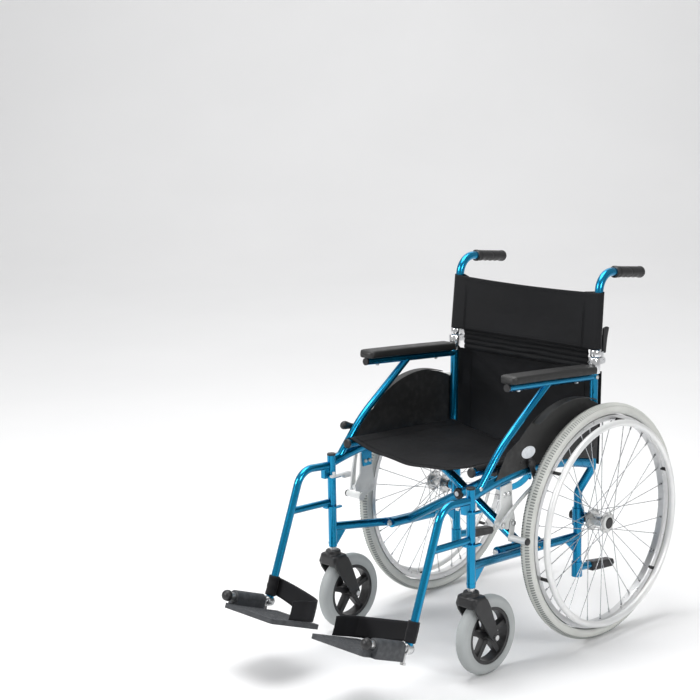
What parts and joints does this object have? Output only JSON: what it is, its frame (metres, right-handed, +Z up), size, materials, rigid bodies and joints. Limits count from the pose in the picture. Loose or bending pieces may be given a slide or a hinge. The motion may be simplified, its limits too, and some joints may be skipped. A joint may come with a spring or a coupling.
{
  "type": "manual wheelchair",
  "caption": "Folding manual wheelchair with sling seat and back, spoked self-propelling wheels with hand rims, swivelling castors, swing-away footrests and parking brakes.",
  "frame": {"origin": "on the floor, at the centre of the whole chair's box seen from above", "axes": "+Z up, +X towards the sitter's left, front towards -Y, rear towards +Y"},
  "size_m": [0.652, 1.1316, 0.9503],
  "materials": {
    "frame_paint": "gloss metallic paint",
    "black_plastic": "textured",
    "guard_plastic": "satin, textured",
    "arm_foam": "grained skin",
    "grip_vinyl": "moulded vinyl",
    "zinc_steel": "zinc plated",
    "chrome_steel": "bright",
    "silver_paint": "pale silver paint",
    "handrim_alloy": "satin anodised",
    "rim_alloy": "satin",
    "grey_tyre": "matte grey rubber",
    "black_nylon": "coated woven nylon"
  },
  "bodies": {
    "side_right": {"side_frame_right": "frame_paint", "frame_plugs_right": "black_plastic", "skirt_guard_right": "guard_plastic", "arm_pad_right": "arm_foam", "back_hinge_right": "chrome_steel", "brake_bracket_right": "silver_paint", "back_sling_lower": "black_nylon"},
    "brace_a": {"brace_front": "frame_paint", "brace_bolt": "zinc_steel"},
    "brace_b": {"brace_rear": "frame_paint", "seat_sling": "black_nylon"},
    "side_left": {"side_frame_left": "frame_paint", "frame_plugs_left": "black_plastic", "skirt_guard_left": "guard_plastic", "arm_pad_left": "arm_foam", "back_hinge_left": "chrome_steel", "brake_bracket_left": "silver_paint"},
    "link_left": {"stabiliser_link_left": "frame_paint"},
    "back_left": {"push_cane_left": "frame_paint", "push_grip_left": "grip_vinyl"},
    "release_left": {"release_lever_left": "black_plastic"},
    "wheel_left": {"rear_tyre_left": "grey_tyre", "rear_rim_left": "rim_alloy", "rear_hub_left": "zinc_steel", "spokes_left": "chrome_steel", "handrim_left": "handrim_alloy", "wheel_trim_left": "black_plastic"},
    "fork_left": {"castor_fork_left": "black_plastic", "castor_bolts_left": "zinc_steel"},
    "castor_left": {"castor_tyre_left": "grey_tyre", "castor_hub_left": "black_plastic"},
    "hanger_left": {"footrest_hanger_left": "frame_paint", "footplate_pivot_left": "zinc_steel", "heel_strap_left": "black_nylon"},
    "foot_left": {"footplate_left": "black_plastic"},
    "catch_left": {"catch_lever_left": "silver_paint"},
    "brake_left": {"brake_lever_left": "silver_paint"},
    "shoe_left": {"brake_shoe_left": "silver_paint"},
    "link_right": {"stabiliser_link_right": "frame_paint"},
    "back_right": {"push_cane_right": "frame_paint", "push_grip_right": "grip_vinyl", "back_sling_upper": "black_nylon"},
    "release_right": {"release_lever_right": "black_plastic"},
    "wheel_right": {"rear_tyre_right": "grey_tyre", "rear_rim_right": "rim_alloy", "rear_hub_right": "zinc_steel", "spokes_right": "chrome_steel", "handrim_right": "handrim_alloy", "wheel_trim_right": "black_plastic"},
    "fork_right": {"castor_fork_right": "black_plastic", "castor_bolts_right": "zinc_steel"},
    "castor_right": {"castor_tyre_right": "grey_tyre", "castor_hub_right": "black_plastic"},
    "hanger_right": {"footrest_hanger_right": "frame_paint", "footplate_pivot_right": "zinc_steel", "heel_strap_right": "black_nylon"},
    "foot_right": {"footplate_right": "black_plastic"},
    "catch_right": {"catch_lever_right": "silver_paint"},
    "brake_right": {"brake_lever_right": "silver_paint"},
    "shoe_right": {"brake_shoe_right": "silver_paint"}
  },
  "joints": [
    {"name": "fold", "type": "hinge", "parent": "side_right", "child": "brace_a", "pos_m": [-0.184, 0.04649, 0.26824], "axis": [0, -0.9986, 0.0523], "range_deg": [0, 53.2], "deforming": ["seat_sling", "back_sling_lower", "back_sling_upper"]},
    {"name": "brace_cross", "type": "hinge", "parent": "brace_a", "child": "brace_b", "pos_m": [0, 0.052, 0.3733], "axis": [0, 0.9986, -0.0523], "range_deg": [0, 106.4]},
    {"name": "brace_to_left_side", "type": "hinge", "parent": "brace_b", "child": "side_left", "pos_m": [0.184, 0.04649, 0.26824], "axis": [0, -0.9986, 0.0523], "range_deg": [0, 53.2]},
    {"name": "link_left", "type": "hinge", "parent": "side_left", "child": "link_left", "pos_m": [0.229, 0.05671, 0.46318], "axis": [0, 0.9986, -0.0523], "range_deg": [0, 80.3]},
    {"name": "back_fold_left", "type": "hinge", "parent": "side_left", "child": "back_left", "pos_m": [0.239, 0.304, 0.716], "axis": [-1, 0, 0], "range_deg": [0, 120]},
    {"name": "release_left", "type": "hinge", "parent": "back_left", "child": "release_left", "pos_m": [0.239, 0.318, 0.739], "axis": [-1, 0, 0], "range_deg": [0, 20], "stiffness_Nm_per_rad": 0.3},
    {"name": "wheel_left", "type": "hinge", "parent": "side_left", "child": "wheel_left", "pos_m": [0.28, 0.259, 0.307], "axis": [1, 0, 0], "continuous": true},
    {"name": "castor_swivel_left", "type": "hinge", "parent": "side_left", "child": "fork_left", "pos_m": [0.24, -0.193, 0.27], "axis": [0, 0, 1], "continuous": true},
    {"name": "castor_wheel_left", "type": "hinge", "parent": "fork_left", "child": "castor_left", "pos_m": [0.24, -0.14, 0.1], "axis": [1, 0, 0], "continuous": true},
    {"name": "hanger_swing_left", "type": "hinge", "parent": "side_left", "child": "hanger_left", "pos_m": [0.24, -0.193, 0.38], "axis": [0, 0, 1], "range_deg": [0, 90]},
    {"name": "footplate_flip_left", "type": "hinge", "parent": "hanger_left", "child": "foot_left", "pos_m": [0.243, -0.4173, 0.1409], "axis": [0, 0.9397, -0.342], "range_deg": [0, 90], "deforming": ["heel_strap_left"]},
    {"name": "catch_left", "type": "hinge", "parent": "hanger_left", "child": "catch_left", "pos_m": [0.217, -0.207, 0.428], "axis": [0, 0, 1], "range_deg": [0, 20], "stiffness_Nm_per_rad": 0.2},
    {"name": "brake_lever_left", "type": "hinge", "parent": "side_left", "child": "brake_left", "pos_m": [0.258, -0.099, 0.372], "axis": [1, 0, 0], "range_deg": [0, 45.5]},
    {"name": "brake_shoe_left", "type": "hinge", "parent": "side_left", "child": "shoe_left", "pos_m": [0.248, -0.0492, 0.3647], "axis": [1, 0, 0], "range_deg": [-40.5, 0]},
    {"name": "link_right", "type": "hinge", "parent": "side_right", "child": "link_right", "pos_m": [-0.229, 0.05671, 0.46318], "axis": [0, -0.9986, 0.0523], "range_deg": [0, 80.3]},
    {"name": "back_fold_right", "type": "hinge", "parent": "side_right", "child": "back_right", "pos_m": [-0.239, 0.304, 0.716], "axis": [-1, 0, 0], "range_deg": [0, 120]},
    {"name": "release_right", "type": "hinge", "parent": "back_right", "child": "release_right", "pos_m": [-0.239, 0.318, 0.739], "axis": [-1, 0, 0], "range_deg": [0, 20], "stiffness_Nm_per_rad": 0.3},
    {"name": "wheel_right", "type": "hinge", "parent": "side_right", "child": "wheel_right", "pos_m": [-0.28, 0.259, 0.307], "axis": [1, 0, 0], "continuous": true},
    {"name": "castor_swivel_right", "type": "hinge", "parent": "side_right", "child": "fork_right", "pos_m": [-0.24, -0.193, 0.27], "axis": [0, 0, 1], "continuous": true},
    {"name": "castor_wheel_right", "type": "hinge", "parent": "fork_right", "child": "castor_right", "pos_m": [-0.24, -0.14, 0.1], "axis": [1, 0, 0], "continuous": true},
    {"name": "hanger_swing_right", "type": "hinge", "parent": "side_right", "child": "hanger_right", "pos_m": [-0.24, -0.193, 0.38], "axis": [0, 0, -1], "range_deg": [0, 90]},
    {"name": "footplate_flip_right", "type": "hinge", "parent": "hanger_right", "child": "foot_right", "pos_m": [-0.243, -0.4173, 0.1409], "axis": [0, -0.9397, 0.342], "range_deg": [0, 90], "deforming": ["heel_strap_right"]},
    {"name": "catch_right", "type": "hinge", "parent": "hanger_right", "child": "catch_right", "pos_m": [-0.217, -0.207, 0.428], "axis": [0, 0, -1], "range_deg": [0, 20], "stiffness_Nm_per_rad": 0.2},
    {"name": "brake_lever_right", "type": "hinge", "parent": "side_right", "child": "brake_right", "pos_m": [-0.258, -0.099, 0.372], "axis": [1, 0, 0], "range_deg": [-45.5, 0]},
    {"name": "brake_shoe_right", "type": "hinge", "parent": "side_right", "child": "shoe_right", "pos_m": [-0.248, -0.0492, 0.3647], "axis": [1, 0, 0], "range_deg": [0, 40.5]}
  ],
  "couplings": [
    {"joint": "brace_cross", "follows": "fold", "ratio": 2},
    {"joint": "brace_to_left_side", "follows": "fold", "ratio": 1},
    {"joint": "link_left", "follows": "fold", "ratio": 1.509},
    {"joint": "footplate_flip_left", "follows": "fold", "ratio": 1.69},
    {"joint": "brake_shoe_left", "follows": "brake_lever_left", "ratio": -0.89},
    {"joint": "link_right", "follows": "fold", "ratio": 1.509},
    {"joint": "footplate_flip_right", "follows": "fold", "ratio": 1.69},
    {"joint": "brake_shoe_right", "follows": "brake_lever_right", "ratio": -0.89},
    {"joint": "back_fold_left", "follows": "back_fold_right", "ratio": 1}
  ]
}
